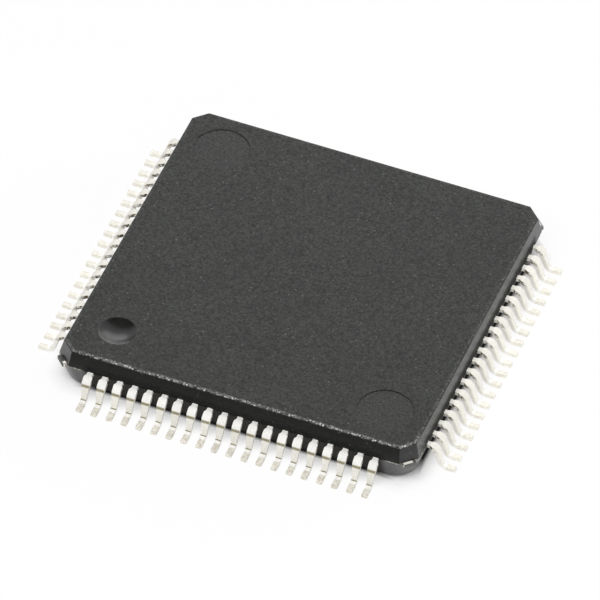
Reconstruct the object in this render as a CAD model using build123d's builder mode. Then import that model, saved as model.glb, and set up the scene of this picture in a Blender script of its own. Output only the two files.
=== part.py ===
"""An 80-lead low-profile quad flat pack: a moulded square body with gull-wing leads on all four sides.

Millimetres, +Z up. The origin is in the middle of the seating plane, which the feet of the leads touch.
The index dimple is in the front left corner (-X, -Y), and lead 1 is the left one on the front side.
The leads count on from there against the clock, seen from above, so each side is the front side
turned by a further quarter turn.
"""

import os
from math import cos, radians, tan

from build123d import *

# Moulded body
body_size = 12.0
body_thickness = 1.35
standoff = 0.07
upper_depth = 0.55
mould_draft = 14.0
upper_corner_chamfer = 0.5
lower_corner_radius = 0.65

# Marks in the moulded faces
mark_inset = 1.54
dimple_radius = 0.6
dimple_depth = 0.24
ejector_radius = 0.9
ejector_depth = 0.03

# Gull-wing leads
leads_per_side = 20
lead_corner_gap = 1.25
lead_width = 0.19
lead_thickness = 0.13
shoulder_length = 0.1
foot_length = 0.41
leg_lean = 17.0
bend_radius = 0.3

# Stubs of the bar that tied the leads together before trimming, bent with the shoulders
stub_width = 0.29

# Inner ends of the leads
finger_tip_width = 0.14
finger_tip_gap = 0.3
tie_bar_clearance = 0.45

# Die, its paddle and the bars that carry the paddle
die_size = 4.0
die_thickness = 0.28
attach_thickness = 0.025
attach_margin = 0.05
paddle_margin = 0.7
paddle_downset = 0.25
tie_bar_width = 0.4
tie_bar_overhang = 0.03

# Bond wires
wire_diameter = 0.03
wire_loop_height = 0.15
pad_inset = 0.1
pad_corner_margin = 0.25
stitch_inset = 0.15

# Nodes
leads_per_group = 5

# Levels and lines that follow from the sizes above
body_half = body_size / 2
body_top = standoff + body_thickness
parting_level = body_top - upper_depth
lead_pitch = (body_size - 2 * lead_corner_gap) / (leads_per_side - 1)
lead_top = parting_level
lead_bottom = lead_top - lead_thickness
paddle_top = lead_top - paddle_downset
paddle_bottom = paddle_top - lead_thickness
die_bottom = paddle_top + attach_thickness
die_top = die_bottom + die_thickness
paddle_half = die_size / 2 + paddle_margin
tip_line = paddle_half + finger_tip_gap
bar_reach = body_half * 2**0.5 - lower_corner_radius * (2**0.5 - 1) + tie_bar_overhang


def spread(index, first):
    """Place of a lead, tip or pad along its side, where the row starts at first and is symmetrical."""
    return first * (1 - 2 * index / (leads_per_side - 1))


def lead_place(index):
    return spread(index, -lead_pitch * (leads_per_side - 1) / 2)


def tip_place(index):
    return spread(index, -(tip_line - tie_bar_clearance - finger_tip_width / 2))


def pad_place(index):
    return spread(index, -(die_size / 2 - pad_corner_margin))


def side_plane(side):
    """Plane seen from above with x along the side, against the clock, and y towards the body's middle."""
    return Plane.XY.rotated((0, 0, 90 * side))


def profile_plane(side, index):
    """Upright plane through the middle of a lead, x outwards from where it leaves the body and y up."""
    plane = side_plane(side)
    origin = plane.from_local_coords(Vector(lead_place(index), -body_half, 0))
    return Plane(origin=origin, x_dir=-plane.y_dir, z_dir=-plane.x_dir)


def bend(corner, arriving, leaving, radius, turn):
    """Points of a bend in an outline: where its arc starts, the arc's middle, and where the arc ends."""
    tangent = radius * tan(turn / 2)
    crown = radius / cos(turn / 2) - radius
    middle = corner + (leaving - arriving).normalized() * crown
    return [corner - arriving * tangent, middle, corner + leaving * tangent]


def lead_outlines():
    """Side views of the gull wing and of its stub, x outwards from the body and y up from the seating plane.

    Each bend has two flats on its outer side and a plain corner inside, which keeps eighty leads light.
    The stub is as long as the shoulder's bend.
    """
    lean = radians(leg_lean)
    turn = radians(90 - leg_lean)
    flat = Vector(1, 0)
    down = Vector(tan(lean), -1).normalized()
    shoulder = Vector(shoulder_length + bend_radius * tan(turn / 2), lead_top)
    heel = shoulder + Vector(tan(lean), -1) * (lead_top - lead_thickness)
    toe = heel + flat * foot_length
    through = Vector(-lead_thickness * tan(turn / 2), -lead_thickness)
    crest = bend(shoulder, flat, down, bend_radius, turn)
    sole = bend(heel + through, down, flat, bend_radius, turn)
    upper = [Vector(0, lead_top), *crest, heel, toe]
    lower = [Vector(0, lead_bottom), shoulder + through, *sole, Vector(toe.X, 0)]
    stub_start = Vector(shoulder_length, lead_bottom)
    stub_end = crest[-1] + Vector(down.Y, -down.X) * lead_thickness
    return upper + lower[::-1], [*crest, stub_end, shoulder + through, stub_start]


def finger_outline(index):
    """Outline from above of the flat inner end of a lead, from its tip to the body's side."""
    place, tip = lead_place(index), tip_place(index)
    right = [(finger_tip_width / 2, tip, -tip_line), (lead_width / 2, place, -body_half)]
    left = [(-half, middle, y) for half, middle, y in reversed(right)]
    return [(middle + half, y) for half, middle, y in right + left]


def wire_route(side, index):
    """Corners of a bond wire: up from its pad on the die, then straight down to the finger of its lead."""
    along = stitch_inset / (body_half - tip_line)
    stitch_x = tip_place(index) + (lead_place(index) - tip_place(index)) * along
    pad = Vector(pad_place(index), -die_size / 2 + pad_inset, die_top)
    top = pad + Vector(0, 0, wire_loop_height)
    stitch = Vector(stitch_x, -tip_line - stitch_inset, lead_top - wire_diameter)
    plane = side_plane(side)
    return [plane.from_local_coords(point) for point in (pad, top, stitch)]


def save(builder, label):
    builder.part.label = label
    export_step(builder.part, f"parts/{label}.step")


os.makedirs("parts", exist_ok=True)

# Leads, five to a node and all separate solids
lead_groups = {}
wire_groups = {}
for side in range(4):
    for first in range(0, leads_per_side, leads_per_group):
        indices = range(first, min(first + leads_per_group, leads_per_side))
        number = side * leads_per_side + first + 1
        span = f"{number:02d}_{number + len(indices) - 1:02d}"
        with BuildPart() as leads:
            for index in indices:
                for outline, width in zip(lead_outlines(), (lead_width, stub_width)):
                    with BuildSketch(profile_plane(side, index)):
                        with BuildLine():
                            Polyline(*outline, close=True)
                        make_face()
                    extrude(amount=width / 2, both=True)
                with BuildSketch(side_plane(side).offset(lead_bottom)):
                    with BuildLine():
                        Polyline(*finger_outline(index), close=True)
                    make_face()
                extrude(amount=lead_thickness)
        lead_groups[f"leads_{span}"] = leads
        with BuildPart() as wires:
            for index in indices:
                route = wire_route(side, index)
                with BuildLine():
                    Polyline(*route)
                with BuildSketch(Plane(origin=route[0], x_dir=side_plane(side).x_dir)):
                    RegularPolygon(wire_diameter / 2, 3, rotation=90)
                sweep(transition=Transition.RIGHT)
            split(bisect_by=Plane.XY.offset(lead_top), keep=Keep.TOP)
        wire_groups[f"bond_wires_{span}"] = wires

# Die paddle and its four tie bars, stamped from the lead frame's sheet and pushed down in the middle
with BuildPart() as die_paddle:
    with BuildSketch(Plane.XY.offset(paddle_bottom)):
        Rectangle(2 * paddle_half, 2 * paddle_half)
    extrude(amount=lead_thickness)
    ramp_foot = paddle_half * 2**0.5 - tie_bar_width / 2
    ramp_head = ramp_foot + paddle_downset
    bar_upper = [(ramp_foot, paddle_top), (ramp_head, lead_top), (bar_reach, lead_top)]
    bar_lower = [(x, y - lead_thickness) for x, y in reversed(bar_upper)]
    for quarter in range(4):
        diagonal = Plane.XY.rotated((0, 0, 45 + 90 * quarter))
        with BuildSketch(Plane(origin=(0, 0, 0), x_dir=diagonal.x_dir, z_dir=-diagonal.y_dir)):
            with BuildLine():
                Polyline(*bar_upper, *bar_lower, close=True)
            make_face()
        extrude(amount=tie_bar_width / 2, both=True)

# Adhesive layer under the die
with BuildPart() as die_attach:
    with BuildSketch(Plane.XY.offset(paddle_top)):
        Rectangle(die_size + 2 * attach_margin, die_size + 2 * attach_margin)
    extrude(amount=attach_thickness)

# Silicon die
with BuildPart() as silicon_die:
    with BuildSketch(Plane.XY.offset(die_bottom)):
        Rectangle(die_size, die_size)
    extrude(amount=die_thickness)

# Moulded body: two drafted halves that meet at the parting level, moulded round everything else
with BuildPart() as package_body:
    base_half = body_half - (parting_level - standoff) * tan(radians(mould_draft))
    section = [
        (-body_half, parting_level),
        (-base_half, standoff),
        (base_half, standoff),
        (body_half, parting_level),
    ]
    with BuildSketch(Plane.XZ):
        Polygon(*section, align=None)
    extrude(amount=body_half, both=True)
    with BuildSketch(Plane.YZ):
        Polygon(*section, align=None)
    extrude(amount=body_half, both=True, mode=Mode.INTERSECT)
    fillet(edges().group_by(Axis.Z)[1], lower_corner_radius)
    with BuildSketch(Plane.XY.offset(parting_level)):
        Rectangle(body_size, body_size)
        chamfer(vertices(), length=upper_corner_chamfer)
    extrude(amount=upper_depth, taper=mould_draft)

    # Index dimple: a shallow bowl, cut by a ball
    mark = body_half - mark_inset
    ball_radius = (dimple_radius**2 + dimple_depth**2) / (2 * dimple_depth)
    with Locations((-mark, -mark, body_top + ball_radius - dimple_depth)):
        Sphere(ball_radius, mode=Mode.SUBTRACT)

    # Ejector pin marks in the two corners beside the dimple's
    with BuildSketch(Plane.XY.offset(body_top)):
        with Locations((-mark, mark), (mark, -mark)):
            Circle(ejector_radius)
    extrude(amount=-ejector_depth, mode=Mode.SUBTRACT)

    enclosed = [die_paddle, die_attach, silicon_die, *lead_groups.values(), *wire_groups.values()]
    add([piece.part for piece in enclosed], mode=Mode.SUBTRACT)

save(package_body, "package_body")
save(die_paddle, "die_paddle")
save(die_attach, "die_attach")
save(silicon_die, "silicon_die")
for label, leads in lead_groups.items():
    save(leads, label)
for label, wires in wire_groups.items():
    save(wires, label)
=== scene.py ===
"""A moulded quad flat pack with eighty gull-wing leads, dressed and lit for a picture.

Metres, +Z up, with the origin in the middle of the seating plane. Meshes are worked out in
millimetres and brought to metres when they are finished.
"""

from math import asin, cos, pi, radians, sin, tan

import bmesh
import bpy
from mathutils import Matrix, Vector


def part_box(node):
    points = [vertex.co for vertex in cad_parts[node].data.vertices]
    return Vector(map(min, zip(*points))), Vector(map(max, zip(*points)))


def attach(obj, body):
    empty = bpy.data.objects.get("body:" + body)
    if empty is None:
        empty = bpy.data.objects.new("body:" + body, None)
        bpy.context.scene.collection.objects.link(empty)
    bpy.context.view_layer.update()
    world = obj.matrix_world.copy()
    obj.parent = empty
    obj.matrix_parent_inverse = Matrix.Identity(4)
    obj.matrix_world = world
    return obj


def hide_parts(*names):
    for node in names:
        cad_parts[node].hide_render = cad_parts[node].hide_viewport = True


bl_info = {
    "name": "Quad flat pack chip",
    "version": (1, 0, 0),
    "blender": (4, 5, 0),
    "location": "3D View > Sidebar > Chip",
    "description": "Builds the body, leads, inner parts and stage of a quad flat pack",
    "category": "Object",
}

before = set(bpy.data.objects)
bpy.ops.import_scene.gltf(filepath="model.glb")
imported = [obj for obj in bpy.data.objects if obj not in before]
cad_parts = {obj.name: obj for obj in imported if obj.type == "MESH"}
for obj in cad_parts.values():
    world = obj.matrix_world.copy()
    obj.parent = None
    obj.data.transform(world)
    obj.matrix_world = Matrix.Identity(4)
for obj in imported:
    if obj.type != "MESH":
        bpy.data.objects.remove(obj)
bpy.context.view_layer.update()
BODY_LOW, BODY_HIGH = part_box("package_body")
LEADS_LOW, LEADS_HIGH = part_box("leads_01_05")

# Meshes and finishes are worked out in millimetres
MM = 1000
SIDES = 4
# How far a step along the diagonal goes along each side
DIAGONAL = 0.5**0.5
# Nearly all values of a noise lie between these
NOISE_SPREAD = (0.3, 0.7)


# Settings

def length(name, description, default, least=0):
    """A size kept in metres and shown in the scene's unit."""
    return bpy.props.FloatProperty(
        name=name, description=description, default=default, min=least, precision=6, unit="LENGTH"
    )


def angle(name, description, degrees):
    return bpy.props.FloatProperty(
        name=name, description=description, default=radians(degrees), precision=3, subtype="ANGLE"
    )


def number(name, description, default):
    return bpy.props.FloatProperty(name=name, description=description, default=default, precision=4)


def colour(name, description, default):
    return bpy.props.FloatVectorProperty(
        name=name, description=description, default=default, size=3, min=0, max=1, subtype="COLOR"
    )


class BodySettings(bpy.types.PropertyGroup):
    """Sizes and colours of the moulded body."""

    size: length("Width", "Width across the parting line", BODY_HIGH[0] - BODY_LOW[0])
    bottom: length("Bottom", "Height of the underside above the seating plane", BODY_LOW[2])
    top: length("Top", "Height of the top face above the seating plane", BODY_HIGH[2])
    parting: length("Parting line", "Height where the two mould halves meet", LEADS_HIGH[2])
    draft: angle("Draft", "Slope of the side walls from upright", 14)
    mismatch: length("Mismatch", "Step between the mould halves", 0.000012)
    ledge_drop: length("Ledge drop", "From the parting line down to the step between the halves", 0.000004)
    corner_chamfer: length("Corner chamfer", "Corner cut of the upper half", 0.0005)
    chamfer_blend: length("Chamfer blend", "Rounding beside the corner cut", 0.00005)
    corner_radius: length("Corner radius", "Corner rounding of the lower half", 0.00063)
    top_rounding: length("Top rounding", "Rounding between the top face and the sides", 0.00006)
    bottom_rounding: length("Bottom rounding", "Rounding under the body", 0.00008)
    mark_inset: length("Mark inset", "From a side to the middle of a mark", 0.00154)
    dimple_radius: length("Dimple radius", "Radius of the index dimple", 0.0006)
    dimple_depth: length("Dimple depth", "Depth of the index dimple", 0.00024)
    ejector_radius: length("Ejector radius", "Radius of an ejector pin mark", 0.0009)
    ejector_depth: length("Ejector depth", "Depth of an ejector pin mark", 0.000025)
    compound: colour("Compound", "Colour of the mould compound", (0.0080, 0.0088, 0.0078))
    filler: colour("Filler", "Colour of the fine filler in it", (0.034, 0.037, 0.033))
    grain: colour("Grains", "Colour of its largest grains", (0.30, 0.32, 0.30))
    # Pale colour for chipped wear and painted glints on the edges, and for a painted highlight on the
    # dimple's front wall
    wear_and_highlight: colour("Wear", "Colour of the chipped edges and of the dimple's lip", (0.80, 0.80, 0.78))
    # Painted shade: the lower wall between the leads is made darker with this colour
    gap: colour("Gaps", "Colour of the wall between the leads", (0.010, 0.008, 0.004))
    # Pale colour of a painted highlight along the edge of the parting line
    resin_and_painted_light: colour("Flash", "Colour of the thin resin edge on the parting line", (0.42, 0.40, 0.35))


class LeadSettings(bpy.types.PropertyGroup):
    """Sizes and colours of the leads."""

    per_side: bpy.props.IntProperty(name="Per side", description="Leads on each side", default=20, min=1)
    per_group: bpy.props.IntProperty(name="Per group", description="Leads in each piece", default=5, min=1)
    corner_gap: length("Corner gap", "From the body's corner to the first lead's middle", 0.00125)
    width: length("Width", "Width of a lead", 0.00019)
    thickness: length("Thickness", "Thickness of the lead frame's sheet", 0.00013)
    edge_rounding: length("Edge rounding", "Rounding along the stamped edges", 0.000016)
    top: length("Top", "Height of a lead's upper face where it leaves the body", LEADS_HIGH[2])
    reach: length("Reach", "How far a lead stands out of the body", BODY_LOW[1] - LEADS_LOW[1])
    foot: length("Foot", "Length of the foot's upper face", 0.00041)
    lean: angle("Lean", "Slope of the leg from upright", 17)
    bend_radius: length("Bend radius", "Radius of the bends along a lead's middle", 0.000235)
    stub_width: length("Stub width", "Width over the trimmed tie bar", 0.00029)
    stub_start: length("Stub start", "From the body to where the stub begins", 0.00009)
    stub_end: length("Stub end", "From the body to where the stub ends", 0.000385)
    stub_taper: length("Stub taper", "Length of the stub's round shoulders", 0.00008)
    tip_line: length("Tip line", "From the middle to the inner ends", -LEADS_HIGH[1])
    tip_width: length("Tip width", "Width of an inner end", 0.00014)
    tip_clearance: length("Tip clearance", "From the last tip to the diagonal", 0.00045)
    sway: length("Sway", "Most that a foot stands to one side", 0.000006)
    seed: bpy.props.IntProperty(name="Seed", description="Start of the small differences", default=7)
    plating: colour("Plating", "Colour of the matt tin", (0.95, 0.93, 0.85))
    # Painted highlight, on the heels and on the shoulders of the front leads
    pressed: colour("Pressed tin", "Colour where a tool pressed the tin smooth", (1.0, 0.985, 0.95))
    # Painted shade on the legs and on the shoulders of the side and back leads
    leg: colour("Leg", "Colour of the tin along the legs", (0.85, 0.83, 0.76))
    # Painted reflection of the dark body in the feet, as darker patches
    darkened: colour("Dull tin", "Colour of the dull patches on the feet", (0.73, 0.68, 0.58))
    # Painted shade across the bends
    bend_shade: colour("Creases", "Colour of the lines across the bends", (0.24, 0.20, 0.10))
    bared: colour("Cut metal", "Colour where the tie bars and the toes were cut", (0.15, 0.12, 0.07))


class InnerSettings(bpy.types.PropertyGroup):
    """Colours of the parts inside the body."""

    copper: colour("Copper", "Colour of the lead frame's alloy", (0.80, 0.42, 0.25))
    adhesive: colour("Adhesive", "Colour of the silver-filled die adhesive", (0.48, 0.47, 0.44))
    silicon: colour("Silicon", "Colour of the die", (0.12, 0.13, 0.16))
    gold: colour("Gold", "Colour of the bond wires", (0.95, 0.66, 0.26))
    # One resin on the bar ends: painted darker on the left as painted shade and lighter on the right as
    # painted light
    shaded_left_resin: colour("Left resin", "Colour of the resin on the left bar ends", (0.02, 0.02, 0.02))
    lit_right_resin: colour("Right resin", "Colour of the resin on the right bar ends", (0.075, 0.075, 0.07))


class StageSettings(bpy.types.PropertyGroup):
    """The camera, the floor and the light."""

    azimuth: angle("Azimuth", "Turn of the camera about the object", 19.06)
    elevation: angle("Elevation", "Height of the camera over the horizon", 44.34)
    roll: angle("Roll", "Turn of the camera about its own axis", 2.85)
    distance: length("Distance", "From the camera to the top face", 0.3567)
    across: length("Across", "Camera moved to its right", -0.00009, -1)
    upwards: length("Upwards", "Camera moved upwards", -0.000687, -1)
    lens: number("Lens", "Focal length in millimetres", 684)
    back: number("Back", "Power of the lamp behind, which only reflections show, in watts", 0.0248)
    overhead: number("Overhead", "Power of the soft lamp above and in front in watts", 0.19)
    side: number("Side", "Power of the low lamp behind the right corner in watts", 0.028)
    ambient: number("Ambient", "Strength of the light from all round", 0.46)
    floor: colour("Floor", "Colour of the floor", (1, 1, 1))
    glow: number("Glow", "Share of its own light in the floor near the chip", 0.9)
    card: colour("Card", "Colour of the dark card in front and overhead", (0.012, 0.009, 0.006))


# Node trees

class Value:
    """An output socket on which Python's operators add maths nodes."""

    def __init__(self, graph, socket):
        self.graph = graph
        self.socket = socket

    def maths(self, operation, *values):
        inputs = dict(enumerate((self, *values)))
        return self.graph.node("ShaderNodeMath", {"operation": operation}, inputs)[0]

    def __add__(self, other):
        return self.maths("ADD", other)

    def __sub__(self, other):
        return self.maths("SUBTRACT", other)

    def __rsub__(self, other):
        return self.maths("MULTIPLY", -1).maths("ADD", other)

    def __mul__(self, other):
        return self.maths("MULTIPLY", other)

    def __truediv__(self, other):
        return self.maths("DIVIDE", other)

    def __gt__(self, other):
        return self.maths("GREATER_THAN", other)

    def __lt__(self, other):
        return self.maths("LESS_THAN", other)

    def __abs__(self):
        return self.maths("ABSOLUTE")

    def at_least(self, other):
        return self.maths("MAXIMUM", other)

    def at_most(self, other):
        return self.maths("MINIMUM", other)

    def ramp(self, start, end, first=0, last=1, kind="LINEAR"):
        """This value's way from start to end, as a number from first to last."""
        inputs = {"Value": self, "From Min": start, "From Max": end, "To Min": first, "To Max": last}
        return self.graph.node("ShaderNodeMapRange", {"interpolation_type": kind}, inputs)[0]

    def fade(self, line, span, first=0, last=1):
        """A ramp over a span that is measured from a line."""
        return self.ramp(line + span[0], line + span[1], first, last)

    def band(self, start, full, fading, end, kind="LINEAR"):
        """1 from full to fading, and 0 before start and after end."""
        return self.ramp(start, full, 0, 1, kind) * self.ramp(fading, end, 1, 0, kind)

    def between(self, first, last):
        """The first number where this mask is 0, and the last where it is 1."""
        return self.ramp(0, 1, first, last)

    def spread(self, first, last):
        """This noise, made to run from first to last."""
        return self.ramp(*NOISE_SPREAD, first, last)

    __radd__ = __add__
    __rmul__ = __mul__


class Made:
    """A node that has been made: its outputs are read by name or number."""

    def __init__(self, graph, node):
        self.graph = graph
        self.node = node

    def __getitem__(self, key):
        return Value(self.graph, find_socket(self.node.outputs, key))


def find_socket(sockets, key):
    """The socket in use with this name or place among those in use."""
    shown = [socket for socket in sockets if socket.enabled]
    if isinstance(key, int):
        return shown[key]
    return next(socket for socket in shown if socket.name == key)


class Graph:
    """A node tree that is built by calls."""

    def __init__(self, tree):
        self.tree = tree

    def node(self, kind, settings=None, inputs=None):
        """Adds a node, sets its settings and then gives its sockets their values or links."""
        node = self.tree.nodes.new(kind)
        for name, value in (settings or {}).items():
            setattr(node, name, value)
        for key, value in (inputs or {}).items():
            socket = find_socket(node.inputs, key)
            if isinstance(value, Made):
                value = value[0]
            if isinstance(value, Value):
                self.tree.links.new(value.socket, socket)
            elif socket.type == "RGBA" and len(value) == 3:
                socket.default_value = (*value, 1)
            else:
                socket.default_value = value
        return Made(self, node)

    def point(self, x=0, y=0, z=0):
        return self.node("ShaderNodeCombineXYZ", None, {"X": x, "Y": y, "Z": z})[0]

    def mix(self, factor, first, second):
        """A colour between two colours."""
        inputs = {"Factor": factor, "A": first, "B": second}
        return self.node("ShaderNodeMix", {"data_type": "RGBA"}, inputs)[0]

    def tint(self, colour, factor):
        """A colour made lighter or darker by a number."""
        inputs = {"Vector": colour, "Scale": factor}
        return self.node("ShaderNodeVectorMath", {"operation": "SCALE"}, inputs)[0]


class Finish(Graph):
    """A material's tree, with the object's own coordinates in millimetres."""

    def __init__(self, name):
        self.material = bpy.data.materials.new(name)
        self.material.use_nodes = True
        super().__init__(self.material.node_tree)
        self.tree.nodes.clear()
        place = self.node("ShaderNodeTexCoord")["Object"]
        self.place = self.tint(place, MM)
        axes = self.node("ShaderNodeSeparateXYZ", None, {0: self.place})
        self.x, self.y, self.z = axes[0], axes[1], axes[2]

    def attribute(self, name):
        return self.node("ShaderNodeAttribute", {"attribute_name": name})["Fac"]

    def noise(self, scale, detail=2, roughness=0.6, place=None):
        """A noise with this many lumps to a millimetre."""
        vector = self.place if place is None else place
        inputs = {"Vector": vector, "Scale": scale, "Detail": detail, "Roughness": roughness}
        return self.node("ShaderNodeTexNoise", None, inputs)["Fac"]

    def specks(self, scale, size, share):
        """Scattered round specks: cells to a millimetre, fade at a speck's rim, and which cells have one."""
        cells = self.node("ShaderNodeTexVoronoi", None, {"Vector": self.place, "Scale": scale})
        chance = self.node("ShaderNodeSeparateXYZ", None, {0: cells["Color"]})[0]
        return cells["Distance"].ramp(*size, 1, 0) * chance.ramp(*share)

    def bump(self, height, strength, distance):
        inputs = {"Height": height, "Strength": strength, "Distance": distance / MM}
        return self.node("ShaderNodeBump", None, inputs)[0]

    def done(self, **inputs):
        """Ends the tree in one principled shader with these sockets."""
        named = {name.replace("_", " "): value for name, value in inputs.items()}
        shader = self.node("ShaderNodeBsdfPrincipled", None, named)
        self.node("ShaderNodeOutputMaterial", None, {"Surface": shader})
        return self.material


# Shared steps

def carry(piece, slot, *nodes):
    """Gives a finished piece its body and hides the nodes that it stands for; its finish's name, slot, is
    not used.
    """
    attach(piece, "root")
    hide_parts(*nodes)


def add_object(name, data):
    thing = bpy.data.objects.new(name, data)
    bpy.context.scene.collection.objects.link(thing)
    return thing


def settle(thing):
    """Evens an object's normals and turns its modifiers into plain mesh, in metres."""
    normals = thing.modifiers.new("even_normals", "WEIGHTED_NORMAL")
    normals.keep_sharp = True
    evaluated = thing.evaluated_get(bpy.context.evaluated_depsgraph_get())
    mesh = bpy.data.meshes.new_from_object(evaluated)
    thing.modifiers.clear()
    thing.data = mesh
    mesh.name = thing.name
    mesh.transform(Matrix.Scale(1 / MM, 4))


def rounded(before, corner, after, radius, steps):
    """Points of a rounding between two lines of a flat outline."""
    before, corner, after = Vector(before), Vector(corner), Vector(after)
    back = (before - corner).normalized()
    on = (after - corner).normalized()
    half = back.angle(on) / 2
    middle = corner + (back + on).normalized() * radius / sin(half)
    start = corner + back * radius / tan(half) - middle
    end = corner + on * radius / tan(half) - middle
    turn = start.angle(end)
    parts = [step / steps for step in range(steps + 1)]
    swept = [start * sin(turn * (1 - part)) + end * sin(turn * part) for part in parts]
    return [middle + point / sin(turn) for point in swept]


# Moulded body

CORNER_STEPS = 12
EDGE_STEPS = 6
MARK_STEPS = 72
SHARP_ANGLE = 50

# How fast the lower half's corner radius grows as its wall leans in
RADIUS_GAIN = 0.45

# Fine bevel at the top of the lower half: its start under the parting line and its depth
BEVEL_START = 0.012
BEVEL_INSET = 0.004

# Roundings of the marks in the top face, in millimetres
RIM_ROUNDING = 0.02
RIM_STEPS = 4
BOWL_STEPS = 14
PIN_EDGE_ROUNDING = 0.008
PIN_FOOT_ROUNDING = 0.012
PIN_STEPS = 3


def arc(middle, radius, start, end, steps):
    """Points of an arc, with angles in degrees."""
    angles = [radians(start + (end - start) * step / steps) for step in range(steps + 1)]
    return [(middle[0] + radius * cos(turn), middle[1] + radius * sin(turn)) for turn in angles]


def round_corner(half, radius):
    """Outline of the front right corner of the lower half."""
    inner = half - radius
    return arc((inner, -inner), radius, -90, 0, CORNER_STEPS + 1)


def cut_corner(half, cut, blend):
    """Outline of the front right corner of the upper half, cut off and blended on both sides."""
    reach = blend * tan(radians(45 / 2))
    first = (half - cut - reach, -half + blend)
    second = (half - blend, -half + cut + reach)
    return arc(first, blend, -90, -45, CORNER_STEPS // 2) + arc(second, blend, -45, 0, CORNER_STEPS // 2)


def whole_outline(corner):
    """A corner's outline repeated round the body, against the clock."""
    turns = [Matrix.Rotation(radians(90 * side), 2) for side in range(SIDES)]
    return [turn @ Vector(point) for turn in turns for point in corner]


def add_ring(mesh, outline, z):
    return [mesh.verts.new((point[0], point[1], z)) for point in outline]


def skin(mesh, rings):
    """Faces between each ring and the next."""
    for lower, upper in zip(rings, rings[1:]):
        for index in range(len(lower)):
            after = (index + 1) % len(lower)
            mesh.faces.new((lower[index], lower[after], upper[after], upper[index]))


def ring_edges(mesh, ring):
    """The edges round a ring, which are made where they are missing."""
    pairs = zip(ring, ring[1:] + ring[:1])
    return [mesh.edges.get(pair) or mesh.edges.new(pair) for pair in pairs]


def sink_mark(mesh, middle, section):
    """Turns a round mark in the top face from its section, and gives its rings from the rim inwards."""
    rings = []
    for radius, z in section:
        outline = arc(middle, radius, 0, 360 - 360 / MARK_STEPS, MARK_STEPS - 1)
        rings.append(add_ring(mesh, outline, z))
    skin(mesh, rings)
    return rings


def dimple_section(half, top, radius, depth):
    """Section of the index dimple, a bowl of a ball's shape with a soft rim, nearly to its middle."""
    ball = (radius**2 + depth**2) / (2 * depth)
    steep = asin(radius / ball)
    down = (radius - cos(steep), top - sin(steep))
    rim = rounded((half, top), (radius, top), down, RIM_ROUNDING, RIM_STEPS)
    widest = asin(rim[-1][0] / ball)
    turns = [widest * (1 - step / BOWL_STEPS) for step in range(1, BOWL_STEPS)]
    bowl = [(ball * sin(turn), top - depth + ball * (1 - cos(turn))) for turn in turns]
    return [*rim, *bowl]


def pin_section(half, top, radius, depth):
    """Section of an ejector pin mark, a shallow step with both its edges rounded."""
    foot = (radius - depth / 2, top - depth)
    return [
        *rounded((half, top), (radius, top), foot, PIN_EDGE_ROUNDING, PIN_STEPS),
        *rounded((radius, top), foot, (0, top - depth), PIN_FOOT_ROUNDING, PIN_STEPS),
    ]


def body_mesh(settings):
    half, bottom, top = settings.size * MM / 2, settings.bottom * MM, settings.top * MM
    parting, mismatch = settings.parting * MM, settings.mismatch * MM
    ledge = parting - settings.ledge_drop * MM
    slope = tan(settings.draft)
    low_inset = (parting - bottom) * slope
    high_inset = mismatch + (top - parting) * slope
    mesh = bmesh.new()

    # Lower half, with round corners
    low_edge = rounded(
        (half, bottom), (low_inset, bottom), (0, parting), settings.bottom_rounding * MM, EDGE_STEPS
    )
    rings = []
    for inset, z in (*low_edge, (0, parting - BEVEL_START), (BEVEL_INSET, ledge)):
        corner = round_corner(half - inset, settings.corner_radius * MM + inset * RADIUS_GAIN)
        rings.append(add_ring(mesh, whole_outline(corner), z))

    # Upper half, with cut corners that get shorter as the wall leans in
    high_edge = rounded(
        (mismatch, parting), (high_inset, top), (half, top), settings.top_rounding * MM, EDGE_STEPS
    )
    for inset, z in ((mismatch, ledge), *high_edge):
        cut = settings.corner_chamfer * MM - inset * (2 - 2**0.5)
        corner = cut_corner(half - inset, cut, settings.chamfer_blend * MM)
        rings.append(add_ring(mesh, whole_outline(corner), z))
    skin(mesh, rings)
    mesh.faces.new(rings[0][::-1])

    # Index dimple
    mark = half - settings.mark_inset * MM
    radius, depth = settings.dimple_radius * MM, settings.dimple_depth * MM
    dimple = sink_mark(mesh, (-mark, -mark), dimple_section(half, top, radius, depth))
    centre = mesh.verts.new((-mark, -mark, top - depth))
    last = dimple[-1]
    for index in range(MARK_STEPS):
        mesh.faces.new((last[index], last[(index + 1) % MARK_STEPS], centre))

    # Ejector pin marks
    section = pin_section(half, top, settings.ejector_radius * MM, settings.ejector_depth * MM)
    holes = [dimple[0]]
    for middle in ((-mark, mark), (mark, -mark)):
        pin = sink_mark(mesh, middle, section)
        mesh.faces.new(pin[-1])
        holes.append(pin[0])

    # Top face round the three marks
    edges = [edge for ring in (rings[-1], *holes) for edge in ring_edges(mesh, ring)]
    bmesh.ops.triangle_fill(mesh, use_beauty=True, edges=edges, normal=(0, 0, 1))
    bmesh.ops.recalc_face_normals(mesh, faces=mesh.faces)
    return mesh


# Where the compound's finish changes, in millimetres from the line that each fade follows
MARKS_REACH = 0.3
DIMPLE_FADE = (-0.01, 0.02)
DIMPLE_HIGHLIGHT_FADE = (0.15, 0.40)
PIN_FADE = (-0.03, 0)
WALL_FADE = (-0.06, -0.02)
ROW_FADE = (-1.15, -0.95)
SKIN_FADE = (0.14, 0.28)
RIM_FADE = (-0.040, -0.008)
RIM_WIDTH_FADE = (-0.275, -0.180)
RIM_CORNER_SHIFT = 0.08
FRONT_FADE = (-1.1, -0.5)
LEFT_FADE = (0.4, 1.8)
SEAM_START = (-0.045, -0.020)
SEAM_END = (0.002, 0.006)
SEAM_CORNER_FADE = (-1.05, -0.85)

# How strongly its parts show
DIMPLE_SMOOTHNESS = 0.9
PIN_SMOOTHNESS = 0.15
GRAIN_SHARE = 0.32
FINE_GRAIN_SHARE = 0.2
STREAK_SHARE = 0.18
GAP_SHADE_SHARE = 0.8


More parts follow.
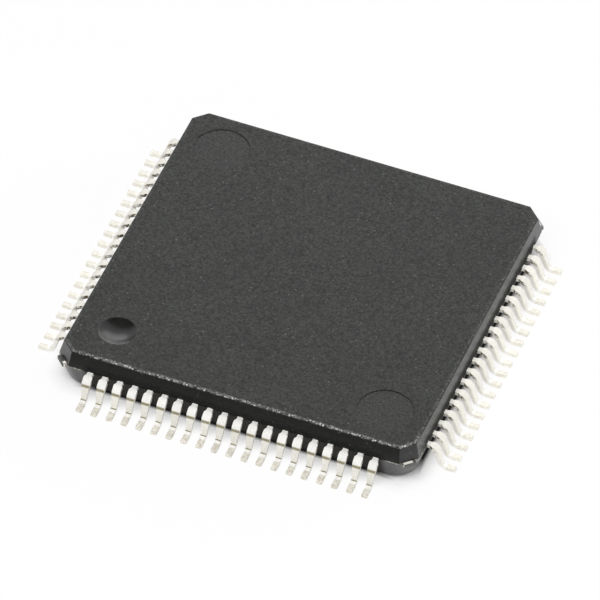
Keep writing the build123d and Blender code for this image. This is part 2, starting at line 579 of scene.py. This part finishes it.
def compound_finish(settings):
    """Black epoxy full of fine glassy filler: matt on top, smoother on the walls and in the marks."""
    finish = Finish("mould_compound")
    x, y, z = finish.x, finish.y, finish.z
    half, top, parting = settings.size * MM / 2, settings.top * MM, settings.parting * MM
    mark = half - settings.mark_inset * MM

    def far(mark_x, mark_y):
        """Distance from the middle of a mark."""
        offset = finish.point(x - mark_x, y - mark_y)
        return finish.node("ShaderNodeVectorMath", {"operation": "LENGTH"}, {0: offset})["Value"]

    # Marks, walls and the rows of leads, with painted shade on the lower wall between the leads
    above = z > top - MARKS_REACH
    dimple = far(-mark, -mark).fade(settings.dimple_radius * MM, DIMPLE_FADE, 1, 0) * above
    pins = far(-mark, mark).at_most(far(mark, -mark))
    pins = pins.fade(settings.ejector_radius * MM, PIN_FADE, 1, 0) * above
    smooth = (dimple * DIMPLE_SMOOTHNESS).at_least(pins * PIN_SMOOTHNESS)
    rough = 1 - smooth
    wall = z.fade(top, WALL_FADE, 1, 0) * (1 - dimple) * (1 - pins)
    row = abs(x).at_most(abs(y)).fade(half, ROW_FADE, 1, 0)
    shade_between_leads = row * (z < parting)
    skin_deep = wall * z.fade(parting, SKIN_FADE).at_least(1 - row)

    # Grain of the compound, from lumps that tint it to pale grains
    texture = finish.noise(13, 3, 0.65)
    cloud = finish.noise(0.55, 2, 0.5)
    mottle = finish.noise(5)
    grains = finish.specks(scale=7.5, size=(0.10, 0.26), share=(0.76, 0.96))
    fine_grains = finish.specks(scale=17, size=(0.12, 0.30), share=(0.75, 0.95))

    # Bright specks on the top edges: chipped wear with painted glints, strongest along the front edge and
    # weaker towards the left
    edge = half - (top - parting) * tan(settings.draft)
    cut_line = 2 * edge - settings.corner_chamfer * MM + RIM_CORNER_SHIFT
    across = abs(x).at_least(abs(y)).at_least((abs(x) + abs(y) - cut_line) * DIAGONAL + edge)
    rim = z.fade(top, RIM_FADE) * across.fade(half, RIM_WIDTH_FADE)
    front = (y * -1).fade(half, FRONT_FADE, 0.15, 1) * x.fade(-half, LEFT_FADE, 0.4, 1)
    chips = finish.specks(scale=12, size=(0.20, 0.44), share=(0.05, 0.45))
    chips = chips * mottle.ramp(0.28, 0.44, 0.6, 1)
    fine_chips = finish.specks(scale=21, size=(0.20, 0.42), share=(0.25, 0.65))
    streaks = finish.noise(9).ramp(0.38, 0.58, 0, STREAK_SHARE)
    wear_and_glints = rim * chips.at_least(fine_chips).at_least(streaks) * front
    # Painted highlight: the front wall of the dimple is made paler
    front_wall_highlight = dimple * (y * -1).fade(mark, DIMPLE_HIGHLIGHT_FADE) * mottle.ramp(0.35, 0.6, 0.10, 0.16)

    # A painted highlight on the edge where the mould halves meet, which shows at the corners
    seam_highlight_zone = z.fade(parting, SEAM_START) * z.fade(parting, SEAM_END, 1, 0)
    seam_highlight_zone = seam_highlight_zone * (abs(x) + abs(y)).fade(2 * half, SEAM_CORNER_FADE)
    resin_and_painted_light = seam_highlight_zone * finish.noise(13).ramp(0.40, 0.54)

    shade = texture.ramp(0.34, 0.70) * rough * wall.between(1, 0.35) + smooth * 0.15
    base = finish.mix(shade, settings.compound, settings.filler)
    base = finish.tint(base, cloud.spread(0.90, 1.10))
    pale = grains * GRAIN_SHARE + fine_grains * FINE_GRAIN_SHARE
    base = finish.mix(pale * rough, base, settings.grain)
    # Painted glints and chipped wear on the top edges, and a painted highlight on the dimple's front wall
    base = finish.mix(wear_and_glints.at_least(front_wall_highlight), base, settings.wear_and_highlight)
    # Painted shade on the lower wall between the leads
    base = finish.mix(shade_between_leads * GAP_SHADE_SHARE, base, settings.gap)
    # Painted highlight along the parting line's edge
    base = finish.mix(resin_and_painted_light, base, settings.resin_and_painted_light)
    height = texture * 0.7 + finish.noise(30) * 0.3 + grains * 0.5
    return finish.done(
        Base_Color=base,
        Roughness=texture.spread(0.68, 0.50) - smooth * 0.30 - wear_and_glints * 0.1 - skin_deep * 0.18,
        Specular_IOR_Level=0.28,
        Coat_Weight=(skin_deep + dimple * 0.35) * mottle.spread(0.8, 1),
        Coat_Roughness=0.3,
        Normal=finish.bump(height * rough, strength=0.55, distance=0.010),
    )


class CHIP_OT_mould_body(bpy.types.Operator):
    """Moulds the body in two drafted halves, with the index dimple and the ejector pin marks"""

    bl_idname = "chip.mould_body"
    bl_label = "Mould the body"

    def execute(self, context):
        settings = context.scene.chip_body
        built = body_mesh(settings)
        mesh = bpy.data.meshes.new("moulded_body")
        built.to_mesh(mesh)
        built.free()
        mesh.shade_smooth()
        mesh.set_sharp_from_angle(angle=radians(SHARP_ANGLE))
        body = add_object("moulded_body", mesh)
        settle(body)
        body.data.materials.append(compound_finish(settings))
        carry(body, "mould_compound", "package_body")
        return {"FINISHED"}


# Leads

# Sizes that the tree takes, each an input of this name
LEAD_SIZES = (
    "body_half", "width", "thickness", "edge_rounding", "top", "reach", "foot", "lean", "bend_radius",
    "stub_width", "stub_start", "stub_end", "stub_taper", "tip_line", "tip_width", "sway", "side_turn",
)

# Numbers of the shoulder's and the heel's corners along the path
SHOULDER_CORNER = 3
HEEL_CORNER = 4

# Fineness of a lead's mesh, and the angle in radians past which its edges stay sharp
BEND_STEPS = 15
STAMPED_EDGE_STEPS = 2
JOINING_DISTANCE = 0.0002
SHARP_EDGE = 0.8

# How squarely a face looks sideways or outwards to be a flank or a toe, and how deep the toe goes
FLANK_FACING = 0.6
TOE_FACING = 0.9
TOE_DEPTH = 0.02

# Small differences between leads, in millimetres: where the sway starts, and what the toe may lack
SWAY_START = 0.2
MOST_SHORTENED = 0.008
SHORTENED_LENGTH = 0.1


def lead_tree():
    """Forms one lead along its bent path, sets a copy on each point and turns them to their side."""
    tree = bpy.data.node_groups.new("gull_wing_leads", "GeometryNodeTree")
    sizes = dict.fromkeys(LEAD_SIZES, "Float")
    given_kinds = {"Geometry": "Geometry", **sizes, "seed": "Int", "material": "Material"}
    for name, kind in given_kinds.items():
        tree.interface.new_socket(name, in_out="INPUT", socket_type=f"NodeSocket{kind}")
    tree.interface.new_socket("Geometry", in_out="OUTPUT", socket_type="NodeSocketGeometry")
    graph = Graph(tree)
    given = graph.node("NodeGroupInput")
    half, width, thick = given["body_half"], given["width"], given["thickness"]
    top, reach, foot = given["top"], given["reach"], given["foot"]
    lean_slope = given["lean"].maths("TANGENT")
    half_turn = ((pi / 2 - given["lean"]) / 2).maths("TANGENT")

    def axes(vector):
        return graph.node("ShaderNodeSeparateXYZ", None, {0: vector})

    def moved(geometry, **inputs):
        return graph.node("GeometryNodeSetPosition", None, {"Geometry": geometry, **inputs})

    def filleted(curve, count, radius):
        inputs = {"Curve": curve, "Count": count, "Radius": radius}
        return graph.node("GeometryNodeFilletCurve", {"mode": "POLY"}, inputs)

    def store(geometry, name, value, domain="POINT"):
        inputs = {"Geometry": geometry, "Name": name, "Value": value}
        settings = {"data_type": "FLOAT", "domain": domain}
        return graph.node("GeometryNodeStoreNamedAttribute", settings, inputs)

    def stored(name):
        return graph.node("GeometryNodeInputNamedAttribute", {"data_type": "FLOAT"}, {"Name": name})[0]

    # Corners of the path along the lead's middle, outwards from the body and upwards
    back = thick / 2 * half_turn
    heel = reach - foot - back
    shoulder = heel - lean_slope * (top - thick)
    high, low = top - thick / 2, thick / 2
    corners = [
        (given["tip_line"] - half, high),
        (0, high),
        (given["stub_start"], high),
        (shoulder, high),
        (heel, low),
        (reach, low),
    ]
    places = [graph.point(0, (half + out) * -1, up) for out, up in corners]
    index = graph.node("GeometryNodeInputIndex")[0]
    switch = graph.node("GeometryNodeIndexSwitch", {"data_type": "VECTOR"})
    for _ in range(len(corners) - 2):
        switch.node.index_switch_items.new()
    tree.links.new(index.socket, switch.node.inputs[0])
    for place, socket in zip(places, switch.node.inputs[1:]):
        tree.links.new(place.socket, socket)
    line = graph.node("GeometryNodeMeshLine", None, {"Count": len(corners)})
    path = graph.node("GeometryNodeMeshToCurve", None, {"Mesh": moved(line, Position=switch[0])})
    bent = (index > SHOULDER_CORNER - 0.5) * (index < HEEL_CORNER + 0.5)
    path = filleted(path, BEND_STEPS, bent * given["bend_radius"])
    path = graph.node("GeometryNodeSetCurveNormal", {"mode": "Z_UP"}, {"Curve": path})

    # The section is the sheet's, with its stamped edges a little rounded
    position = graph.node("GeometryNodeInputPosition")
    path = store(path, "out", axes(position)[1] * -1 - half)
    sheet = {"Width": width, "Height": thick}
    section = graph.node("GeometryNodeCurvePrimitiveQuadrilateral", None, sheet)
    section = filleted(section, STAMPED_EDGE_STEPS, given["edge_rounding"])
    sweeping = {"Curve": path, "Profile Curve": section, "Fill Caps": True}
    lead = graph.node("GeometryNodeCurveToMesh", None, sweeping)
    joining = {"Geometry": lead, "Distance": JOINING_DISTANCE}
    lead = graph.node("GeometryNodeMergeByDistance", None, joining)

    # Stub of the trimmed tie bar on the shoulder, and the finger's taper inside the body
    out = stored("out")
    inside = (out / (given["tip_line"] - half)).ramp(0, 1)
    start, end, taper = given["stub_start"], given["stub_end"], given["stub_taper"]
    stub = out.band(start, start + taper, end - taper, end, "SMOOTHSTEP")
    wider = 1 + stub * (given["stub_width"] / width - 1) - inside * (1 - given["tip_width"] / width)
    here = axes(position)
    lead = moved(lead, Position=graph.point(here[0] * wider, here[1], here[2]))

    # Faces that the finish tells apart: the sides of a lead, and where it was cut
    normal = axes(graph.node("GeometryNodeInputNormal"))
    flank = abs(normal[0]) > FLANK_FACING
    toe = (abs(normal[1]) > TOE_FACING) * (out > reach - TOE_DEPTH)
    lead = store(lead, "cut", (flank * (out > start) * (out < end)).at_least(toe), "FACE")
    lead = store(lead, "flank", flank, "FACE")

    # One copy on each point, each a little different
    copying = {"Points": given["Geometry"], "Instance": lead}
    copies = graph.node("GeometryNodeInstanceOnPoints", None, copying)
    spreads = {"tone": (0, 1), "sway": (-1, 1), "short": (0, 1)}
    for step, (name, (least, most)) in enumerate(spreads.items()):
        inputs = {"Min": least, "Max": most, "Seed": given["seed"] + step}
        chance = graph.node("FunctionNodeRandomValue", {"data_type": "FLOAT"}, inputs)[0]
        copies = store(copies, name, chance, "INSTANCE")
    leads = graph.node("GeometryNodeRealizeInstances", None, {"Geometry": copies})
    aside = stored("shift") * inside + stored("sway") * given["sway"] * out.ramp(SWAY_START, reach)
    shorter = stored("short") * MOST_SHORTENED * out.ramp(reach - SHORTENED_LENGTH, reach)
    leads = moved(leads, Offset=graph.point(aside, shorter, 0))
    turning = {"Geometry": leads, "Rotation": graph.point(0, 0, given["side_turn"])}
    leads = graph.node("GeometryNodeTransform", None, turning)
    sharp = graph.node("GeometryNodeInputMeshEdgeAngle")[0] > SHARP_EDGE
    shading = {"Geometry": leads, "Selection": sharp, "Shade Smooth": False}
    leads = graph.node("GeometryNodeSetShadeSmooth", {"domain": "EDGE"}, shading)
    plated = {"Geometry": leads, "Material": given["material"]}
    leads = graph.node("GeometryNodeSetMaterial", None, plated)
    graph.node("NodeGroupOutput", None, {"Geometry": leads})
    return tree


# Where the tin's finish changes, in millimetres outwards from the body
SHOULDER_END = (0.30, 0.32)
SHOULDER_SHADE = (0.312, 0.325, 0.340, 0.352)
LEG_PART = (0.345, 0.355, 0.470, 0.490)
HEEL_SHADE = (0.476, 0.488, 0.512, 0.524)
HEEL_PART = (0.520, 0.535, 0.635, 0.660)
BARE_END = (0.22, 0.34)

# Where the feet start, from the toes, and how far in front of the chip's middle the leads begin that get
# most of the painted light and shade
FOOT_START = (-0.32, -0.28)
FRONT_LEADS_SIDE = (5.2, 5.6)

# How strongly its parts show
TIN_HIGHLIGHT_SHARE = 0.95
LEG_SHADE_SHARE = 0.8
FLANK_SHARE = 0.1


def plating_finish(settings, reach):
    """Matt tin: a painted highlight on the heels and front shoulders, painted shade on the legs, the other
    shoulders and across the bends, darker patches on the feet as a painted reflection, bare where cut.

    The leads of the front side carry most of this painted light and shade.
    """
    finish = Finish("matt_tin")
    out, tone, cut = finish.attribute("out"), finish.attribute("tone"), finish.attribute("cut")
    mottle = finish.noise(9, 3)
    fine = finish.noise(30)
    light = tone.between(0.95, 1.03) * mottle.spread(0.95, 1.04) * fine.spread(0.91, 1.06)
    # The front leads, which get most of the painted light and shade
    front_leads = (finish.y * -1).ramp(*FRONT_LEADS_SIDE)
    shoulder = out.ramp(*SHOULDER_END, 1, 0)
    # Painted highlight on the heels and on the shoulders of the front leads
    pressed = out.band(*HEEL_PART).at_least(shoulder * front_leads)
    base = finish.mix(pressed * TIN_HIGHLIGHT_SHARE, settings.plating, settings.pressed)
    # Painted shade on the legs of the front leads and on the shoulders of the others
    leg = (out.band(*LEG_PART) * front_leads.between(0.3, 1)).at_least(shoulder * (1 - front_leads))
    base = finish.mix(leg * LEG_SHADE_SHARE, base, settings.leg)
    # Painted reflection of the dark body: darker patches on the feet, most on the front leads
    foot = out.fade(reach, FOOT_START) * front_leads.between(0.5, 1)
    patches = finish.noise(13).ramp(0.42, 0.58, 0.15, 1)
    base = finish.mix(foot * patches, base, settings.darkened)
    # Painted shade across the bends at the shoulder and the heel, most on the front leads and faint on the
    # flanks
    bend_shade = out.band(*SHOULDER_SHADE) + out.band(*HEEL_SHADE)
    bend_shade = bend_shade * fine.ramp(0.25, 0.5, 0.6, 0.95) * front_leads.between(0.12, 1)
    bend_shade = bend_shade * finish.attribute("flank").between(1, FLANK_SHARE)
    base = finish.mix(bend_shade, finish.tint(base, light), settings.bend_shade)
    bare = cut * finish.noise(11).ramp(0.44, 0.54) * out.ramp(*BARE_END, 1, 0.1)
    base = finish.mix(bare, base, settings.bared)
    return finish.done(
        Base_Color=base,
        Metallic=0.06,
        Roughness=mottle.spread(0.40, 0.52) + bare * 0.1,
        Normal=finish.bump(fine * 0.6 + mottle * 0.4, strength=0.35, distance=0.005),
    )


class CHIP_OT_form_leads(bpy.types.Operator):
    """Forms the gull-wing leads, five to a piece, each with its stub and its finger inside the body"""

    bl_idname = "chip.form_leads"
    bl_label = "Form the leads"

    def execute(self, context):
        settings, body = context.scene.chip_leads, context.scene.chip_body
        half = body.size * MM / 2
        sizes = {name: getattr(settings, name) * MM for name in LEAD_SIZES if hasattr(settings, name)}
        sizes["body_half"] = half
        sizes["lean"] = settings.lean
        material = plating_finish(settings, sizes["reach"])
        tree = lead_tree()
        inputs = [socket for socket in tree.interface.items_tree if socket.in_out == "INPUT"]
        sockets = {socket.name: socket.identifier for socket in inputs}
        last = settings.per_side - 1
        first_place = half - settings.corner_gap * MM
        first_tip = sizes["tip_line"] - settings.tip_clearance * MM - sizes["tip_width"] / 2
        for side in range(SIDES):
            sizes["side_turn"] = side * pi / 2
            for first in range(0, settings.per_side, settings.per_group):
                group = [1 - 2 * index / last for index in range(first, first + settings.per_group)]
                mesh = bpy.data.meshes.new("lead_places")
                mesh.from_pydata([(-first_place * part, 0, 0) for part in group], [], [])
                shift = mesh.attributes.new("shift", "FLOAT", "POINT")
                shift.data.foreach_set("value", [(first_place - first_tip) * part for part in group])
                number = side * settings.per_side + first + 1
                span = f"{number:02d}_{number + settings.per_group - 1:02d}"
                leads = add_object(f"formed_leads_{span}", mesh)
                forming = leads.modifiers.new("forming", "NODES")
                forming.node_group = tree
                for name, size in sizes.items():
                    forming[sockets[name]] = size
                forming[sockets["seed"]] = settings.seed + number
                forming[sockets["material"]] = material
                settle(leads)
                if not leads.data.polygons:
                    raise RuntimeError("the leads were not formed")
                carry(leads, "lead_plating", f"leads_{span}")
        return {"FINISHED"}


# Inner parts

# Where the finish of the tie bars' ends changes, in millimetres from the corner of the body's square
TIN_START = (-0.56, -0.52)
RESIN_START = (-0.40, -0.37)

# The line between bare tin and resin on a bar's end, and how it tilts from left to right, so that resin
# covers the tin on the left bar ends as painted shade
TIN_LINE = (-0.03, 0.03)
TIN_TILT = 0.025


def brush_marks(finish, scale, stretch):
    """Fine marks that run from left to right."""
    return finish.noise(scale, 3, place=finish.point(finish.x * stretch, finish.y, finish.z))


def brushed_finish(name, colour, roughness, metallic, scale, stretch):
    """A worked surface with fine marks along one way."""
    finish = Finish(name)
    marks = brush_marks(finish, scale, stretch)
    return finish.done(
        Base_Color=finish.tint(colour, marks.spread(0.88, 1.06)),
        Metallic=metallic,
        Roughness=marks.spread(roughness - 0.05, roughness + 0.07),
        Normal=finish.bump(marks, strength=0.2, distance=0.003),
    )


def frame_finish(settings, tin, half):
    """The lead frame's bare copper alloy, with tin and resin on the bar ends at the body's corners, the
    resin painted darker on the left as painted shade and lighter on the right as painted light.
    """
    finish = Finish("lead_frame_copper")
    marks = brush_marks(finish, scale=22, stretch=0.15)
    bare = finish.tint(settings.copper, marks.spread(0.86, 1.06))
    outwards = abs(finish.x) + abs(finish.y)
    tinned = outwards.fade(2 * half, TIN_START)
    tin_side = (abs(finish.y) - abs(finish.x) + finish.x * TIN_TILT).ramp(*TIN_LINE)
    resin_and_painted_light = outwards.fade(2 * half, RESIN_START).at_least(tinned * (1 - tin_side))
    # Painted shade on the resin of the left bar ends, and painted light on the resin of the right ones
    right = finish.x > 0
    resin = finish.mix(right, settings.shaded_left_resin, settings.lit_right_resin)
    return finish.done(
        Base_Color=finish.mix(resin_and_painted_light, finish.mix(tinned, bare, tin), resin),
        Metallic=(1 - resin_and_painted_light) * tinned.between(1, 0.12),
        Roughness=marks.spread(0.28, 0.42) + resin_and_painted_light * 0.3,
        Coat_Weight=resin_and_painted_light * right.between(0.5, 1),
        Coat_Roughness=0.3,
        Normal=finish.bump(marks * (1 - tinned), strength=0.2, distance=0.003),
    )


def silicon_finish(colour):
    """A polished die with faint blocks of circuits in it."""
    finish = Finish("silicon")
    tiles = finish.noise(3.5, 1, 0.5)
    base = finish.tint(colour, tiles.ramp(0.4, 0.6, 0.8, 1.25))
    return finish.done(Base_Color=base, Metallic=0.55, Roughness=tiles.ramp(0.4, 0.6, 0.14, 0.24))


class CHIP_OT_finish_inside(bpy.types.Operator):
    """Gives the paddle, the adhesive, the die and the bond wires their finishes"""

    bl_idname = "chip.finish_inside"
    bl_label = "Finish the inner parts"

    def execute(self, context):
        settings, leads = context.scene.chip_inner, context.scene.chip_leads
        half = context.scene.chip_body.size * MM / 2
        finishes = {
            "die_paddle": frame_finish(settings, leads.plating, half),
            "die_attach": brushed_finish(
                "die_adhesive", settings.adhesive, roughness=0.6, metallic=0.3, scale=25, stretch=1
            ),
            "silicon_die": silicon_finish(settings.silicon),
            "bond_wires": brushed_finish(
                "bond_wire_gold", settings.gold, roughness=0.2, metallic=1, scale=60, stretch=0.3
            ),
        }
        for name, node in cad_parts.items():
            for start, material in finishes.items():
                if name.startswith(start):
                    for slot in node.material_slots:
                        slot.material = material
        return {"FINISHED"}


# Stage

# Sizes of the stage, in metres
FLOOR_HALF = 2
FLOOR_HEIGHT = -1e-6
CARD_HALF = 0.4
CARD_OUTLINE = (
    (-0.0078, 0.00005), (-0.030, 0.00005), (-0.042, 0.004), (-0.050, 0.014),
    (-0.052, 0.10), (-0.030, 0.17), (0, 0.19),
)
CLIP_START = 0.02
CLIP_END = 10
SENSOR_WIDTH = 36

# Each lamp's name, place, size, power setting and what doesn't see it
LAMPS = (
    ("back_lamp", (-0.012, 0.048, 0.042), (0.088, 0.044), "back", "visible_diffuse"),
    ("top_lamp", (-0.02, -0.09, 0.16), (0.12, 0.12), "overhead", "visible_glossy"),
    ("side_lamp", (0.055, 0.06, 0.018), (0.03, 0.02), "side", "visible_glossy"),
)

# Painted shadow: a dark ring on the floor under the body's edge, in metres from the middle towards the
# nearest side
RING_SHIFT = 0.00006
RING_CORNER_INSET = 0.0022
RING_START = (0.00560, 0.00566)
RING_END = (0.00578, 0.00592)
RING_CORNERS = (0.0046, 0.0054)
RING_LIGHT = 0.03

# Where the floor's own light starts: under the body, near it, behind it and far off
UNDER_BODY = (0.0050, 0.0056)
NEAR_BODY = (0.0057, 0.0064)
NEAR_SHARE = 0.15
BEHIND_BODY = (0.0045, 0.0055)
BEHIND_START = (0.0060, 0.0061)
FAR_OFF = (0.02, 0.05)


def emptied_graph(holder):
    """The node tree of a new material or world, emptied."""
    holder.use_nodes = True
    holder.node_tree.nodes.clear()
    return Graph(holder.node_tree)


def stage_finish(name, shader_of, settings):
    material = bpy.data.materials.new(name)
    graph = emptied_graph(material)
    graph.node("ShaderNodeOutputMaterial", None, {"Surface": shader_of(graph, settings)})
    return material


def seen_directly(graph):
    """1 for what the camera sees, also in a reflection or through glass."""
    path = graph.node("ShaderNodeLightPath")
    return path["Is Camera Ray"].at_least(path["Is Glossy Ray"]).at_least(path["Is Transmission Ray"])


def floor_shader(graph, settings):
    """White that glows, with a painted shadow in a ring under the chip's edge and a faint real shadow close
    by, and that is clear from below.
    """
    axes = graph.node("ShaderNodeSeparateXYZ", None, {0: graph.node("ShaderNodeTexCoord")["Object"]})
    x, y = axes[0], axes[1]
    corner = (abs(x) + abs(y)) * DIAGONAL - RING_CORNER_INSET
    away = (x - RING_SHIFT).at_least(x * -1).at_least(abs(y)).at_least(corner)
    beside = abs(x).at_most(abs(y))
    # Painted shadow: the floor is made dark in a ring under the body's edge, which shows between the leads
    inside_ring = away.ramp(*RING_START, 1, RING_LIGHT)
    outside_ring = away.ramp(*RING_END, RING_LIGHT, 1)
    open_floor = inside_ring.at_least(outside_ring).at_least(beside.ramp(*RING_CORNERS))
    shadow_painted_floor = graph.tint(settings.floor, open_floor)
    lit = graph.node("ShaderNodeBsdfDiffuse", None, {"Color": shadow_painted_floor})
    white = graph.node("ShaderNodeEmission", None, {"Strength": 1.0})
    behind = y.ramp(*BEHIND_BODY, 0, settings.glow) * away.ramp(*BEHIND_START)
    near = away.ramp(*NEAR_BODY, NEAR_SHARE * settings.glow, settings.glow) * open_floor
    under = away.ramp(*UNDER_BODY, settings.glow, 0)
    glow = near.at_least(under).at_least(behind).at_least(away.ramp(*FAR_OFF))
    upper = graph.node("ShaderNodeMixShader", None, {0: glow, 1: lit, 2: white})
    from_below = graph.node("ShaderNodeNewGeometry")["Backfacing"]
    clear = graph.node("ShaderNodeBsdfTransparent")
    return graph.node("ShaderNodeMixShader", None, {0: from_below, 1: upper, 2: clear})


def card_shader(graph, settings):
    return graph.node("ShaderNodeBsdfDiffuse", None, {"Color": settings.card})


def strip_mesh(name, outline, half):
    """A sheet with this outline seen from the side, and this far to the left and the right."""
    mesh = bpy.data.meshes.new(name)
    vertices = [(x, y, z) for y, z in outline for x in (-half, half)]
    faces = [(2 * row, 2 * row + 1, 2 * row + 3, 2 * row + 2) for row in range(len(outline) - 1)]
    mesh.from_pydata(vertices, [], faces)
    return mesh


def add_lamp(name, place, size, power):
    """A soft lamp that shines on the chip's middle."""
    lamp = bpy.data.lights.new(name, "AREA")
    lamp.shape = "RECTANGLE"
    lamp.size, lamp.size_y = size
    lamp.energy = power
    thing = add_object(name, lamp)
    thing.location = place
    thing.rotation_euler = (-Vector(place)).to_track_quat("-Z", "Y").to_euler()
    return thing


def set_camera(settings):
    """Turns the camera as the photograph's stood, by its two angles and its roll."""
    azimuth, elevation, roll = settings.azimuth, settings.elevation, settings.roll
    right = Vector((cos(azimuth), sin(azimuth), 0))
    back = Vector((sin(azimuth) * cos(elevation), -cos(azimuth) * cos(elevation), sin(elevation)))
    up = back.cross(right)
    rolled = cos(roll) * right + sin(roll) * up
    upright = cos(roll) * up - sin(roll) * right
    camera = bpy.data.cameras.new("chip_camera")
    camera.lens = settings.lens
    camera.sensor_width = SENSOR_WIDTH
    camera.clip_start = CLIP_START
    camera.clip_end = CLIP_END
    thing = add_object("chip_camera", camera)
    turn = Matrix((rolled, upright, back)).transposed().to_4x4()
    top = Vector((0, 0, BODY_HIGH[2]))
    place = top + rolled * settings.across + upright * settings.upwards + back * settings.distance
    thing.matrix_world = Matrix.Translation(place) @ turn
    bpy.context.scene.camera = thing


def set_world(settings):
    """An even pale light from all round, which looks white itself."""
    world = bpy.data.worlds.new("pale_room")
    bpy.context.scene.world = world
    graph = emptied_graph(world)
    strength = seen_directly(graph).between(settings.ambient, 1)
    sky = graph.node("ShaderNodeBackground", None, {"Color": (1, 1, 1), "Strength": strength})
    graph.node("ShaderNodeOutputWorld", None, {"Surface": sky})


class CHIP_OT_set_stage(bpy.types.Operator):
    """Lays the floor, hangs the dark card in front and overhead, and places the lamps and the camera"""

    bl_idname = "chip.set_stage"
    bl_label = "Set the stage"

    def execute(self, context):
        settings = context.scene.chip_stage
        set_camera(settings)
        floor_outline = ((-FLOOR_HALF, FLOOR_HEIGHT), (FLOOR_HALF, FLOOR_HEIGHT))
        floor = add_object("floor", strip_mesh("floor", floor_outline, FLOOR_HALF))
        floor.data.materials.append(stage_finish("floor_white", floor_shader, settings))
        card = add_object("dark_card", strip_mesh("dark_card", CARD_OUTLINE, CARD_HALF))
        card.data.materials.append(stage_finish("card_black", card_shader, settings))
        card.visible_camera = False
        card.visible_diffuse = False
        card.visible_shadow = False
        for name, place, size, power, hidden in LAMPS:
            lamp = add_lamp(name, place, size, getattr(settings, power))
            setattr(lamp, hidden, False)
        set_world(settings)
        context.scene.view_settings.view_transform = "Standard"
        return {"FINISHED"}


class CHIP_PT_panel(bpy.types.Panel):
    """The chip's settings and steps"""

    bl_label = "Quad flat pack"
    bl_idname = "CHIP_PT_panel"
    bl_space_type = "VIEW_3D"
    bl_region_type = "UI"
    bl_category = "Chip"

    def draw(self, context):
        for operator, holder in STEPS:
            box = self.layout.box()
            settings = getattr(context.scene, holder)
            for name in settings.bl_rna.properties.keys():
                if name not in ("rna_type", "name"):
                    box.prop(settings, name)
            box.operator(operator.bl_idname)


STEPS = (
    (CHIP_OT_mould_body, "chip_body"),
    (CHIP_OT_form_leads, "chip_leads"),
    (CHIP_OT_finish_inside, "chip_inner"),
    (CHIP_OT_set_stage, "chip_stage"),
)
GROUPS = {
    "chip_body": BodySettings,
    "chip_leads": LeadSettings,
    "chip_inner": InnerSettings,
    "chip_stage": StageSettings,
}
CLASSES = (*GROUPS.values(), *(operator for operator, _ in STEPS), CHIP_PT_panel)


def register():
    for kind in CLASSES:
        bpy.utils.register_class(kind)
    for name, group in GROUPS.items():
        setattr(bpy.types.Scene, name, bpy.props.PointerProperty(type=group))


def unregister():
    for name in GROUPS:
        delattr(bpy.types.Scene, name)
    for kind in reversed(CLASSES):
        bpy.utils.unregister_class(kind)


def main():
    register()
    bpy.ops.chip.mould_body()
    bpy.ops.chip.form_leads()
    bpy.ops.chip.finish_inside()
    bpy.ops.chip.set_stage()


if __name__ == "__main__":
    main()
